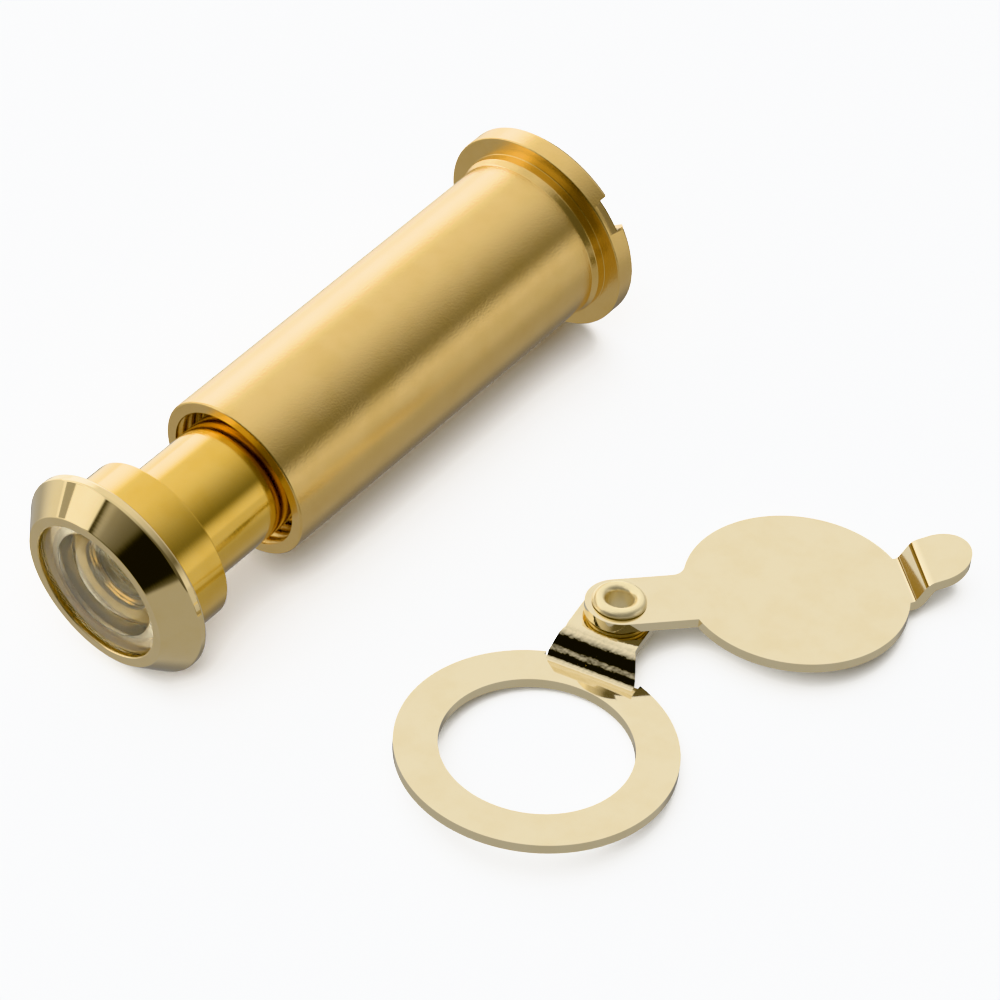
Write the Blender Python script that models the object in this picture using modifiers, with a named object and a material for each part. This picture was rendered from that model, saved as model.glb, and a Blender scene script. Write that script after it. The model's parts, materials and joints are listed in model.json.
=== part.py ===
"""Adjustable brass door viewer with a loose swing cover.

The barrel lies on its side along X, its bezel towards -X and its flange towards +X.
The swing cover lies beside it on the -Y side, tipped so that the edge of its ring and
the edge of its disc both touch the surface at Z = 0.  Units are metres.
"""
import math

import bmesh
import bpy
from mathutils import Matrix, Vector

MM = 0.001
NAME = "door_viewer"

# ---- fineness of the round shapes -------------------------------------------------
SEGMENTS = 48
DOME_STEPS = 4
ARC_STEP = math.radians(7.5)
MERGE = 0.00001

# ---- clearances -------------------------------------------------------------------
SEAT_GAP = 0.05 * MM        # between pieces that are stacked on each other
FIT_GAP = 0.10 * MM         # round a piece that drops into a bore or over a pin
THREAD_GAP = 0.30 * MM      # between the two threads, which are drawn as plain cylinders

# ---- rear sleeve, from the flange's seat (z = 0) towards the bezel ------------------
SLEEVE_RADIUS = 7.0 * MM
SLEEVE_LENGTH = 35.15 * MM
SLEEVE_WALL = 1.05 * MM
MOUTH_CHAMFER = 0.25 * MM
BORE_CHAMFER = 0.10 * MM
SHOULDER_STEP = 0.25 * MM
SHOULDER_LENGTH = 0.75 * MM
SHOULDER_TAPER = 0.45 * MM
FLANGE_RADIUS = 8.8 * MM
FLANGE_THICKNESS = 2.0 * MM
FLANGE_CHAMFER = 0.4 * MM
EDGE_BREAK = 0.1 * MM
WEB_ABOVE_SEAT = 0.6 * MM
WEB_WIDTH = 1.45 * MM       # from the sleeve's bore in to the eye hole
EYE_CHAMFER = 0.8 * MM
SLOT_WIDTH = 2.75 * MM
SLOT_DEPTH = 1.0 * MM
SLOT_TURN = math.radians(-51.0)

# ---- front barrel, from the bezel's seat (z = 0) towards the flange ------------------
BEZEL_RADIUS = 8.8 * MM
BEZEL_HEIGHT = 2.9 * MM
BEZEL_BAND = 0.75 * MM
BEZEL_ROUND = 0.15 * MM
RIM_SETBACK = 0.2 * MM      # rim inside the collar's radius
RIM_BREAK = 0.12 * MM
RIM_WIDTH = 0.85 * MM
LIP_REACH = 0.35 * MM       # of the rim over the front lens
LIP_THICKNESS = 0.35 * MM
THROAT_LEDGE = 0.4 * MM
THROAT_DEPTH = 0.6 * MM
STOP_THICKNESS = 0.6 * MM
STOP_LEDGE = 0.6 * MM
BARREL_WALL = 1.0 * MM      # between the neck and the bore for the lenses
COLLAR_LENGTH = 4.1 * MM
COLLAR_GAP = 8.05 * MM      # neck that shows between collar and sleeve at rest
NECK_UNDERCUT = 0.55 * MM   # below the crests of the thread
NECK_LENGTH = 10.0 * MM
THREAD_LENGTH = 19.0 * MM

# ---- lenses and the pieces between them ---------------------------------------------
SEAL_THICKNESS = 0.5 * MM
SEAL_WIDTH = 1.2 * MM
FRONT_LENS_SAG = 0.9 * MM
FRONT_LENS_LAND = 1.8 * MM  # flat rim behind the front lens, outside its hollow
FRONT_LENS_CENTRE = 1.1 * MM
SECOND_LENS_THICKNESS = 1.6 * MM
SECOND_LENS_LAND = 1.0 * MM
SECOND_LENS_SAG = 0.9 * MM
SPACER_RING_LENGTH = 1.2 * MM
SPACER_WALL = 0.55 * MM
THIRD_LENS_THICKNESS = 1.6 * MM
THIRD_LENS_LAND = 1.2 * MM
THIRD_LENS_SAG = 0.5 * MM
EYE_LENS_EDGE = 1.2 * MM
EYE_LENS_SAG = 0.7 * MM
LOCK_RING_LENGTH = 1.5 * MM
LOCK_RING_WALL = 1.1 * MM
LOCK_RING_RECESS = 0.4 * MM
SPANNER_WIDTH = 1.0 * MM
SPANNER_DEPTH = 0.7 * MM

# ---- swing cover ------------------------------------------------------------------------
SHEET = 0.8 * MM
RING_WIDTH = 3.35 * MM
RING_CLEARANCE = 0.1 * MM   # between the ring's hole and the sleeve's shoulder
LUG_SETBACK = 1.15 * MM     # from the ring's edge in to the lug's foot
LUG_FLAT = 3.15 * MM        # from the head of the lug's bend to the rivet
LUG_HALF_WIDTH = 2.9 * MM
LUG_FOOT_HALF_WIDTH = 3.6 * MM
LUG_RELIEF = 0.3 * MM
LUG_RISE = 2.5 * MM
LUG_RUN = 1.2 * MM
LUG_OVERLAP = 0.9 * MM
BEND_RADIUS = 0.9 * MM      # to the middle of the sheet
WASHER_THICKNESS = 0.3 * MM
WASHER_RADIUS = 2.4 * MM
DISC_RADIUS = 8.75 * MM
ARM_HALF_WIDTH = 2.65 * MM
ARM_FILLET = 1.2 * MM
TAB_HALF_WIDTH = 2.6 * MM
TAB_SETOUT = 0.15 * MM      # from the disc's edge to the first bend
TAB_RUN = 1.0 * MM
TAB_RISE = 1.75 * MM
TAB_LENGTH = 4.6 * MM       # from the first bend to the tab's end, seen from above
TAB_SLOPE = math.radians(17.0)
TAB_OVERLAP = 1.5 * MM
RIVET_SHANK = 1.5 * MM
RIVET_BORE = 1.05 * MM
RIVET_HEAD = 2.1 * MM
RIVET_HEAD_HEIGHT = 0.55 * MM
RIVET_FOOT = 2.0 * MM
RIVET_FOOT_HEIGHT = 0.35 * MM
COVER_OPENING = math.radians(127.2)  # from closed over the eye hole to as it lies here

# ---- layout on the surface ----------------------------------------------------------------
FLANGE_SEAT_X = 24.3 * MM
BARREL_AXIS_Y = 18.2 * MM
RING_X = -11.65 * MM
RING_Y = -12.85 * MM
COVER_TURN = math.radians(14.9)      # direction from the ring's centre to the rivet

# ---- sizes that follow from the ones above ---------------------------------------------------
SHOULDER_RADIUS = SLEEVE_RADIUS + SHOULDER_STEP
SLEEVE_BORE = SLEEVE_RADIUS - SLEEVE_WALL
EYE_HOLE = SLEEVE_BORE - WEB_WIDTH
COLLAR_RADIUS = SLEEVE_RADIUS
THREAD_RADIUS = SLEEVE_BORE - THREAD_GAP
NECK_RADIUS = THREAD_RADIUS - NECK_UNDERCUT
STACK_BORE = NECK_RADIUS - BARREL_WALL
STOP_RADIUS = STACK_BORE - STOP_LEDGE
RIM_RADIUS = COLLAR_RADIUS - RIM_SETBACK
LENS_OPENING = RIM_RADIUS - RIM_WIDTH
LENS_POCKET = LENS_OPENING + LIP_REACH
BEZEL_SEAT = SLEEVE_LENGTH + COLLAR_GAP + COLLAR_LENGTH
TAIL_END = -(COLLAR_LENGTH + NECK_LENGTH + THREAD_LENGTH)
FRONT_LENS_RADIUS = LENS_POCKET - FIT_GAP
FRONT_LENS_HOLLOW = FRONT_LENS_RADIUS - FRONT_LENS_LAND
FRONT_LENS_BACK = SEAL_THICKNESS + 2.0 * SEAT_GAP
SEAL_INNER = FRONT_LENS_RADIUS - SEAL_WIDTH
THROAT_RADIUS = SEAL_INNER - THROAT_LEDGE
STACK_TOP = -(THROAT_DEPTH + STOP_THICKNESS)
STACK_RADIUS = STACK_BORE - FIT_GAP
SECOND_LENS_HOLLOW = STACK_RADIUS - SECOND_LENS_LAND
THIRD_LENS_HOLLOW = STACK_RADIUS - THIRD_LENS_LAND
RING_HOLE = SHOULDER_RADIUS + RING_CLEARANCE
RING_RADIUS = RING_HOLE + RING_WIDTH
LUG_FOOT = RING_RADIUS - LUG_SETBACK
RIVET_DISTANCE = LUG_FOOT + LUG_RUN + LUG_FLAT  # and from the rivet to the disc's centre
LUG_TOP = LUG_RISE + SHEET
RELIEF_HALF_WIDTH = LUG_FOOT_HALF_WIDTH + LUG_RELIEF
RING_TOE = math.sqrt(RING_RADIUS ** 2 - RELIEF_HALF_WIDTH ** 2)
ARM_UNDERSIDE = LUG_TOP + WASHER_THICKNESS + 2.0 * SEAT_GAP
RIVET_HOLE = RIVET_SHANK + FIT_GAP
TAB_FOLD = DISC_RADIUS + TAB_SETOUT
TAB_REACH = TAB_FOLD + TAB_LENGTH

BRASS_SATIN = ("brass_satin", (0.72, 0.55, 0.26, 1.0), 0.36, 1.0)
BRASS_POLISHED = ("brass_polished", (0.86, 0.70, 0.40, 1.0), 0.08, 1.0)
BRASS_TURNED = ("brass_turned", (0.78, 0.58, 0.22, 1.0), 0.25, 1.0)
SHEET_POLISHED = ("brass_sheet", (0.93, 0.84, 0.62, 1.0), 0.10, 1.0)
SHEET_RIVET = ("brass_rivet", (0.88, 0.76, 0.48, 1.0), 0.15, 1.0)
GLASS = ("lens_glass", (0.80, 0.84, 0.80, 1.0), 0.03, 0.0)
BLACK_RUBBER = ("black_rubber", (0.02, 0.02, 0.02, 1.0), 0.75, 0.0)


def clear_scene():
    """Remove every object that is already in the scene."""
    for obj in list(bpy.data.objects):
        bpy.data.objects.remove(obj, do_unlink=True)


def new_collection(name):
    collection = bpy.data.collections.new(name)
    bpy.context.scene.collection.children.link(collection)
    return collection


def material(spec):
    """The material for a finish, made once and then shared."""
    name, colour, roughness, metallic = spec
    found = bpy.data.materials.get(name)
    if found is not None:
        return found
    made = bpy.data.materials.new(name)
    made.use_nodes = True
    shader = made.node_tree.nodes["Principled BSDF"]
    shader.inputs["Base Color"].default_value = colour
    shader.inputs["Roughness"].default_value = roughness
    shader.inputs["Metallic"].default_value = metallic
    made.diffuse_color = colour
    return made


def place(obj, collection, parent, finish=None):
    """Put an object in a collection, under a parent empty, with a finish."""
    collection.objects.link(obj)
    obj.parent = parent
    if finish is not None:
        obj.data.materials.append(material(finish))


def empty(name, collection, parent, location, rotation=None):
    """An empty that carries the pieces of one sub-assembly."""
    holder = bpy.data.objects.new(name, None)
    collection.objects.link(holder)
    holder.parent = parent
    holder.empty_display_size = 5.0 * MM
    holder.location = location
    if rotation is not None:
        holder.rotation_euler = rotation.to_euler()
    return holder


def shade(mesh):
    mesh.shade_smooth()
    mesh.set_sharp_from_angle(angle=math.radians(30.0))


# ---- turned pieces -----------------------------------------------------------------------

def turned(name, profile, collection, parent, finish, closed=True):
    """A solid of revolution about local Z.

    The profile's (radius, height) points run down the outer side and, where the piece
    is hollow, back up the bore.
    """
    mesh = bpy.data.meshes.new(name)
    points = [(radius, 0.0, height) for radius, height in profile]
    edges = [(i, i + 1) for i in range(len(points) - 1)]
    if closed:
        edges.append((len(points) - 1, 0))
    mesh.from_pydata(points, edges, [])
    obj = bpy.data.objects.new(name, mesh)
    place(obj, collection, parent, finish)
    obj.rotation_euler.z = math.pi / SEGMENTS
    screw = obj.modifiers.new("turn", "SCREW")
    screw.axis = "Z"
    screw.angle = math.tau
    screw.steps = SEGMENTS
    screw.render_steps = SEGMENTS
    screw.use_merge_vertices = True
    screw.merge_threshold = MERGE
    screw.use_smooth_shade = True
    return obj


def ring_profile(inner, outer, top, bottom):
    return [(outer, top), (outer, bottom), (inner, bottom), (inner, top)]


def sphere_radius(radius, sag):
    return (radius ** 2 + sag ** 2) / (2.0 * abs(sag))


def fall_at(distance, radius, sag):
    """How far a spherical face has dropped at a distance from its axis."""
    sphere = sphere_radius(radius, sag)
    return sphere - math.sqrt(sphere ** 2 - distance ** 2)


def dome(radius, sag, height):
    """Points of a shallow spherical face, from the axis out to its edge.

    height is the face's height on the axis; a positive sag drops towards the edge.
    """
    sphere = sphere_radius(radius, sag)
    reach = math.asin(radius / sphere)
    points = []
    for step in range(DOME_STEPS + 1):
        angle = reach * step / DOME_STEPS
        fall = sphere * (1.0 - math.cos(angle))
        points.append((sphere * math.sin(angle), height - math.copysign(fall, sag)))
    return points


def cutter_box(name, size, centre, collection, parent, turn=0.0):
    """A box that only cuts: width along local Y, length along local X."""
    bpy.ops.mesh.primitive_cube_add(size=1.0)
    box = bpy.context.active_object
    box.name = name
    for owner in list(box.users_collection):
        owner.objects.unlink(box)
    collection.objects.link(box)
    box.data.transform(Matrix.Diagonal((*size, 1.0)))
    box.data.transform(Matrix.Translation(centre))
    box.parent = parent
    box.rotation_euler.z = turn
    box.hide_render = True
    box.display_type = "WIRE"
    return box


def combine(obj, other, operation):
    """Add a live EXACT Boolean to an object."""
    cut = obj.modifiers.new(operation.lower(), "BOOLEAN")
    cut.operation = operation
    cut.solver = "EXACT"
    cut.object = other


# ---- the barrel ---------------------------------------------------------------------------

def rear_sleeve(parts, cutters, seat):
    """Threaded tube with the flange and its coin slot."""
    profile = [
        (SLEEVE_RADIUS - MOUTH_CHAMFER, SLEEVE_LENGTH),
        (SLEEVE_RADIUS, SLEEVE_LENGTH - MOUTH_CHAMFER),
        (SLEEVE_RADIUS, SHOULDER_LENGTH + SHOULDER_TAPER),
        (SHOULDER_RADIUS, SHOULDER_LENGTH),
        (SHOULDER_RADIUS, 0.0),
        (FLANGE_RADIUS - EDGE_BREAK, 0.0),
        (FLANGE_RADIUS, -EDGE_BREAK),
        (FLANGE_RADIUS, FLANGE_CHAMFER - FLANGE_THICKNESS),
        (FLANGE_RADIUS - FLANGE_CHAMFER, -FLANGE_THICKNESS),
        (EYE_HOLE + EYE_CHAMFER, -FLANGE_THICKNESS),
        (EYE_HOLE, EYE_CHAMFER - FLANGE_THICKNESS),
        (EYE_HOLE, WEB_ABOVE_SEAT),
        (SLEEVE_BORE, WEB_ABOVE_SEAT),
        (SLEEVE_BORE, SLEEVE_LENGTH - BORE_CHAMFER),
        (SLEEVE_BORE + BORE_CHAMFER, SLEEVE_LENGTH),
    ]
    sleeve = turned("rear_sleeve", profile, parts, seat, BRASS_SATIN)
    size = (2.5 * FLANGE_RADIUS, SLOT_WIDTH, 2.0 * SLOT_DEPTH)
    centre = Vector((0.0, 0.0, -FLANGE_THICKNESS))
    slot = cutter_box("coin_slot_cutter", size, centre, cutters, seat, SLOT_TURN)
    combine(sleeve, slot, "DIFFERENCE")
    return sleeve


def front_barrel(parts, holder):
    """Bezel, collar, neck and threaded tail, bored for the lenses."""
    shell = [
        (RIM_RADIUS - RIM_BREAK, BEZEL_HEIGHT),
        (RIM_RADIUS, BEZEL_HEIGHT - RIM_BREAK),
        (BEZEL_RADIUS, BEZEL_BAND),
        (BEZEL_RADIUS, BEZEL_ROUND),
        (BEZEL_RADIUS - BEZEL_ROUND, 0.0),
        (COLLAR_RADIUS, 0.0),
        (COLLAR_RADIUS, EDGE_BREAK - COLLAR_LENGTH),
        (COLLAR_RADIUS - EDGE_BREAK, -COLLAR_LENGTH),
        (NECK_RADIUS, -COLLAR_LENGTH),
        (NECK_RADIUS, -COLLAR_LENGTH - NECK_LENGTH),
        (THREAD_RADIUS, -COLLAR_LENGTH - NECK_LENGTH - (THREAD_RADIUS - NECK_RADIUS)),
        (THREAD_RADIUS, TAIL_END + 4.0 * EDGE_BREAK),
        (THREAD_RADIUS - 4.0 * EDGE_BREAK, TAIL_END),
    ]
    bore = [
        (STACK_BORE, TAIL_END),
        (STACK_BORE, STACK_TOP),
        (STOP_RADIUS, STACK_TOP),
        (STOP_RADIUS, -THROAT_DEPTH),
        (THROAT_RADIUS, 0.0),
        (LENS_POCKET, 0.0),
        (LENS_POCKET, BEZEL_HEIGHT - LIP_THICKNESS),
        (LENS_OPENING, BEZEL_HEIGHT - LIP_THICKNESS),
        (LENS_OPENING, BEZEL_HEIGHT - EDGE_BREAK),
        (LENS_OPENING + EDGE_BREAK, BEZEL_HEIGHT),
    ]
    return turned("front_barrel", shell + bore, parts, holder, BRASS_POLISHED)


def objective_lens(parts, holder):
    """Negative meniscus: a shallow dome in front, a deep hollow behind."""
    under_lip = BEZEL_HEIGHT - LIP_THICKNESS - SEAT_GAP
    crown = under_lip + fall_at(LENS_OPENING, FRONT_LENS_RADIUS, FRONT_LENS_SAG)
    front = dome(FRONT_LENS_RADIUS, FRONT_LENS_SAG, crown)
    hollow_top = crown - FRONT_LENS_CENTRE
    hollow = dome(FRONT_LENS_HOLLOW, hollow_top - FRONT_LENS_BACK, hollow_top)
    profile = front + [(FRONT_LENS_RADIUS, FRONT_LENS_BACK)] + hollow[::-1]
    return turned("objective_lens", profile, parts, holder, GLASS, closed=False)


def lens_seal(parts, holder):
    profile = ring_profile(SEAL_INNER, FRONT_LENS_RADIUS, SEAT_GAP + SEAL_THICKNESS, SEAT_GAP)
    return turned("lens_seal", profile, parts, holder, BLACK_RUBBER)


def negative_lens(name, top, thickness, hollow, sag, parts, holder):
    """Plano-concave lens, hollow towards the eye."""
    bottom = top - thickness
    face = [(0.0, top), (STACK_RADIUS, top), (STACK_RADIUS, bottom)]
    back = dome(hollow, sag, bottom + sag)
    return turned(name, face + back[::-1], parts, holder, GLASS, closed=False)


def eyepiece_lens(top, parts, holder):
    """Biconvex lens whose edge is EYE_LENS_EDGE thick."""
    front = dome(STACK_RADIUS, EYE_LENS_SAG, top)
    back = dome(STACK_RADIUS, -EYE_LENS_SAG, top - EYE_LENS_EDGE - 2.0 * EYE_LENS_SAG)
    return turned("eyepiece_lens", front + back[::-1], parts, holder, GLASS, closed=False)


def lens_lock_ring(top, parts, cutters, holder):
    """Threaded ring with two spanner notches that clamps the stack."""
    bottom = top - LOCK_RING_LENGTH
    profile = ring_profile(STACK_RADIUS - LOCK_RING_WALL, STACK_RADIUS, top, bottom)
    ring = turned("lens_lock_ring", profile, parts, holder, BRASS_TURNED)
    size = (3.0 * STACK_RADIUS, SPANNER_WIDTH, 2.0 * SPANNER_DEPTH)
    centre = Vector((0.0, 0.0, bottom))
    combine(ring, cutter_box("spanner_cutter", size, centre, cutters, holder), "DIFFERENCE")
    return ring


def lens_stack(parts, cutters, holder):
    """Everything that is clamped inside the front barrel, from the front to the eye."""
    objective_lens(parts, holder)
    lens_seal(parts, holder)
    top = STACK_TOP - SEAT_GAP
    negative_lens("second_lens", top, SECOND_LENS_THICKNESS, SECOND_LENS_HOLLOW,
                  SECOND_LENS_SAG, parts, holder)
    top -= SECOND_LENS_THICKNESS + SEAT_GAP
    profile = ring_profile(STACK_RADIUS - SPACER_WALL, STACK_RADIUS, top, top - SPACER_RING_LENGTH)
    turned("spacer_ring", profile, parts, holder, BRASS_TURNED)
    top -= SPACER_RING_LENGTH + SEAT_GAP
    negative_lens("third_lens", top, THIRD_LENS_THICKNESS, THIRD_LENS_HOLLOW,
                  THIRD_LENS_SAG, parts, holder)
    top -= THIRD_LENS_THICKNESS + SEAT_GAP
    lock_top = TAIL_END + LOCK_RING_RECESS + LOCK_RING_LENGTH
    lock_seat = fall_at(STACK_RADIUS - LOCK_RING_WALL, STACK_RADIUS, EYE_LENS_SAG)
    tube_seat = fall_at(STACK_RADIUS - SPACER_WALL, STACK_RADIUS, EYE_LENS_SAG)
    lens_bottom = lock_top + SEAT_GAP - lock_seat
    lens_top = lens_bottom + EYE_LENS_EDGE + 2.0 * EYE_LENS_SAG
    tube_end = lens_top - tube_seat + SEAT_GAP
    profile = ring_profile(STACK_RADIUS - SPACER_WALL, STACK_RADIUS, top, tube_end)
    turned("spacer_tube", profile, parts, holder, BRASS_TURNED)
    eyepiece_lens(lens_top, parts, holder)
    lens_lock_ring(lock_top, parts, cutters, holder)


# ---- sheet metal ---------------------------------------------------------------------------

def arc(centre, radius, start, end):
    """Points along an arc, both ends included, in steps of about ARC_STEP."""
    steps = max(1, round(abs(end - start) / ARC_STEP))
    points = []
    for step in range(steps + 1):
        angle = start + (end - start) * step / steps
        points.append((centre[0] + radius * math.cos(angle),
                       centre[1] + radius * math.sin(angle)))
    return points


def circle(radius, centre=(0.0, 0.0)):
    return arc(centre, radius, 0.0, math.tau)[:-1]


def plate(name, outlines, thickness, collection, parent, upright=False):
    """A flat solid from closed outlines in XY, or in XZ when upright.

    The sheet is centred on its plane.  It starts as a filled 2D curve and ends as a
    welded mesh, so that it can take part in Booleans.
    """
    curve = bpy.data.curves.new(name, "CURVE")
    curve.dimensions = "2D"
    curve.fill_mode = "BOTH"
    curve.extrude = thickness / 2.0
    for outline in outlines:
        spline = curve.splines.new("POLY")
        spline.points.add(len(outline) - 1)
        for point, (x, y) in zip(spline.points, outline):
            point.co = (x, y, 0.0, 1.0)
        spline.use_cyclic_u = True
    source = bpy.data.objects.new(name + "_curve", curve)
    collection.objects.link(source)
    bpy.context.view_layer.update()
    evaluated = source.evaluated_get(bpy.context.evaluated_depsgraph_get())
    mesh = bpy.data.meshes.new_from_object(evaluated)
    bpy.data.objects.remove(source, do_unlink=True)
    bpy.data.curves.remove(curve)
    work = bmesh.new()
    work.from_mesh(mesh)
    bmesh.ops.remove_doubles(work, verts=work.verts, dist=MERGE)
    if upright:
        bmesh.ops.rotate(work, verts=work.verts, matrix=Matrix.Rotation(math.pi / 2.0, 3, "X"))
    bmesh.ops.recalc_face_normals(work, faces=work.faces)
    work.to_mesh(mesh)
    work.free()
    shade(mesh)
    obj = bpy.data.objects.new(name, mesh)
    collection.objects.link(obj)
    obj.parent = parent
    return obj


def lift(obj, height):
    """Move a mesh along its own Z, keeping the object's origin where it is."""
    obj.data.transform(Matrix.Translation((0.0, 0.0, height)))


def as_tool(obj):
    obj.hide_render = True
    obj.display_type = "WIRE"
    return obj


def bent_line(start, foot, head, end, radius):
    """Middle line of a joggled strip: two bends of one radius, at foot and at head."""
    points = [start]
    corners = [(start, foot, head), (foot, head, end)]
    for before, corner, after in corners:
        before, corner, after = Vector(before), Vector(corner), Vector(after)
        into = (corner - before).normalized()
        out = (after - corner).normalized()
        turn = into.angle_signed(out)
        setback = radius * math.tan(abs(turn) / 2.0)
        side = -1.0 if turn > 0.0 else 1.0
        normal = Vector((-into.y, into.x)) * side
        centre = corner - into * setback + normal * radius
        first = math.atan2(-normal.y, -normal.x)
        points += arc(centre, radius, first, first + side * abs(turn))
    points.append(end)
    return points


def strip_outline(line, thickness):
    """Closed outline of a strip of even thickness about its middle line."""
    upper = []
    lower = []
    for i, point in enumerate(line):
        ahead = Vector(line[min(i + 1, len(line) - 1)])
        behind = Vector(line[max(i - 1, 0)])
        along = (ahead - behind).normalized()
        normal = Vector((-along.y, along.x)) * (thickness / 2.0)
        here = Vector(point)
        upper.append(tuple(here + normal))
        lower.append(tuple(here - normal))
    return upper + lower[::-1]


def lug_outline():
    """Seen from above: a flared foot, straight sides and a round end about the rivet."""
    inner = LUG_FOOT - LUG_OVERLAP
    flare = LUG_FOOT + LUG_RUN
    half = arc((RIVET_DISTANCE, 0.0), LUG_HALF_WIDTH, -math.pi / 2.0, math.pi / 2.0)
    start = [(inner, -LUG_FOOT_HALF_WIDTH), (LUG_FOOT, -LUG_FOOT_HALF_WIDTH), (flare, -LUG_HALF_WIDTH)]
    end = [(x, -y) for x, y in start[::-1]]
    return start + half + end


def cover_ring(parts, cutters, holder):
    """Flat ring with a lug that is bent up to carry the rivet."""
    ring = plate("cover_ring", [circle(RING_RADIUS), circle(RING_HOLE)], SHEET, parts, holder)
    lift(ring, SHEET / 2.0)
    ring.data.materials.append(material(SHEET_POLISHED))
    relief_size = (RING_RADIUS, 2.0 * RELIEF_HALF_WIDTH, 4.0 * SHEET)
    relief_centre = Vector((LUG_FOOT + RING_RADIUS / 2.0, 0.0, 0.0))
    relief = cutter_box("lug_relief_cutter", relief_size, relief_centre, cutters, holder)
    combine(ring, relief, "DIFFERENCE")
    middle = SHEET / 2.0
    line = bent_line((LUG_FOOT - LUG_OVERLAP, middle), (LUG_FOOT, middle),
                     (LUG_FOOT + LUG_RUN, middle + LUG_RISE),
                     (RIVET_DISTANCE + 2.0 * LUG_HALF_WIDTH, middle + LUG_RISE), BEND_RADIUS)
    lug = plate("lug_strip", [strip_outline(line, SHEET)], 4.0 * LUG_HALF_WIDTH, cutters, holder,
                upright=True)
    plan = plate("lug_plan", [lug_outline(), circle(RIVET_HOLE, (RIVET_DISTANCE, 0.0))],
                 8.0 * LUG_RISE, cutters, holder)
    combine(as_tool(lug), as_tool(plan), "INTERSECT")
    combine(ring, lug, "UNION")
    return ring


def swing_outline():
    """Disc and arm, about the rivet at the origin, with the disc towards +X.

    The arm meets the disc in a sharp corner on one side and in a fillet on the other.
    """
    disc = (RIVET_DISTANCE, 0.0)
    reach = math.asin(ARM_HALF_WIDTH / DISC_RADIUS)
    span = DISC_RADIUS + ARM_FILLET
    rise = ARM_HALF_WIDTH + ARM_FILLET
    lean = math.asin(rise / span)
    fillet = (disc[0] - span * math.cos(lean), rise)
    end = arc((0.0, 0.0), ARM_HALF_WIDTH, math.pi / 2.0, 1.5 * math.pi)
    rim = arc(disc, DISC_RADIUS, math.pi + reach, 3.0 * math.pi - lean)
    corner = arc(fillet, ARM_FILLET, -lean, -math.pi / 2.0)
    return end + rim + corner[1:]


def tab_outline():
    """Thumb tab seen from above, with a round end."""
    root = RIVET_DISTANCE + TAB_FOLD - TAB_OVERLAP
    centre = (RIVET_DISTANCE + TAB_REACH - TAB_HALF_WIDTH, 0.0)
    end = arc(centre, TAB_HALF_WIDTH, -math.pi / 2.0, math.pi / 2.0)
    return [(root, -TAB_HALF_WIDTH)] + end + [(root, TAB_HALF_WIDTH)]


def swing_cover(parts, cutters, pivot):
    """Disc, arm and joggled thumb tab, turning about local Z at its own origin."""
    outlines = [swing_outline(), circle(RIVET_HOLE)]
    cover = plate("swing_cover", outlines, SHEET, parts, pivot)
    lift(cover, SHEET / 2.0)
    cover.data.materials.append(material(SHEET_POLISHED))
    middle = SHEET / 2.0
    fold = RIVET_DISTANCE + TAB_FOLD
    head = fold + TAB_RUN
    end = RIVET_DISTANCE + TAB_REACH + TAB_HALF_WIDTH
    high = middle + TAB_RISE
    line = bent_line((fold - TAB_OVERLAP, middle), (fold, middle), (head, high),
                     (end, high + (end - head) * math.tan(TAB_SLOPE)), BEND_RADIUS)
    tab = plate("tab_strip", [strip_outline(line, SHEET)], 4.0 * TAB_HALF_WIDTH, cutters, pivot,
                upright=True)
    plan = plate("tab_plan", [tab_outline()], 8.0 * TAB_REACH, cutters, pivot)
    combine(as_tool(tab), as_tool(plan), "INTERSECT")
    combine(cover, tab, "UNION")
    return cover


def cover_rivet(parts, holder):
    """Tubular rivet: a domed head above the arm and a flared foot below the lug."""
    head = ARM_UNDERSIDE + SHEET + SEAT_GAP
    top = head + RIVET_HEAD_HEIGHT
    foot = LUG_RISE - SEAT_GAP
    crown = []
    for step in range(DOME_STEPS + 1):
        angle = math.pi / 2.0 * (1.0 - step / DOME_STEPS)
        crown.append((RIVET_BORE + (RIVET_HEAD - RIVET_BORE) * math.cos(angle),
                      head + RIVET_HEAD_HEIGHT * math.sin(angle)))
    shank = [
        (RIVET_SHANK, head),
        (RIVET_SHANK, foot),
        (RIVET_FOOT, foot),
        (RIVET_FOOT, foot - RIVET_FOOT_HEIGHT / 2.0),
        (RIVET_SHANK, foot - RIVET_FOOT_HEIGHT),
        (RIVET_BORE, foot - RIVET_FOOT_HEIGHT),
        (RIVET_BORE, top - EDGE_BREAK),
    ]
    return turned("cover_rivet", crown + shank, parts, holder, SHEET_RIVET)


def rivet_washer(parts, holder):
    bottom = LUG_TOP + SEAT_GAP
    profile = ring_profile(RIVET_HOLE, WASHER_RADIUS, bottom + WASHER_THICKNESS, bottom)
    return turned("rivet_washer", profile, parts, holder, SHEET_RIVET)


# ---- layout ----------------------------------------------------------------------------------

def barrel_frame(parts):
    """Empty at the centre of the flange's seat, local Z along the axis towards the bezel.

    The barrel lies on the lowest facets of its flange and its bezel.
    """
    flange_low = FLANGE_RADIUS * math.cos(math.pi / SEGMENTS)
    bezel_low = BEZEL_RADIUS * math.cos(math.pi / SEGMENTS)
    span = BEZEL_SEAT + FLANGE_THICKNESS
    tilt = math.asin((bezel_low - flange_low) / span)
    towards_bezel = Vector((-math.cos(tilt), 0.0, math.sin(tilt)))
    sideways = Vector((0.0, 1.0, 0.0))
    upward = sideways.cross(towards_bezel)
    rotation = Matrix((upward, sideways, towards_bezel)).transposed()
    height = flange_low * math.cos(tilt)
    return empty("barrel_axis", parts, None, (FLANGE_SEAT_X, BARREL_AXIS_Y, height), rotation)


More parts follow.
